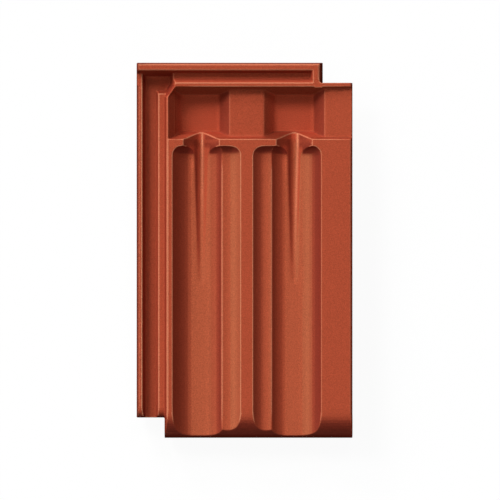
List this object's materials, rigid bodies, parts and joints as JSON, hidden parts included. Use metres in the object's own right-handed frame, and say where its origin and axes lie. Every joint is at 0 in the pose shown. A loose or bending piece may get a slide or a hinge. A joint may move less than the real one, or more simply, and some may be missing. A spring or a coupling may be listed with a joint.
{
  "type": "clay roof tile",
  "caption": "Interlocking pressed clay roof tile with long troughs, drain notches, a side lock, a head lock and hanging nibs.",
  "frame": {"origin": "middle of the tile's plan at the level of its lowest point, the underside of the nibs", "axes": "+X across the tile towards the cover flange, +Y along it towards the head, +Z out of the weathered face"},
  "size_m": [0.277, 0.481, 0.047],
  "materials": {
    "clay": "satin engobe over fired red clay, with a fine grain"
  },
  "bodies": {
    "root": {"roof_tile": "clay"}
  },
  "joints": []
}
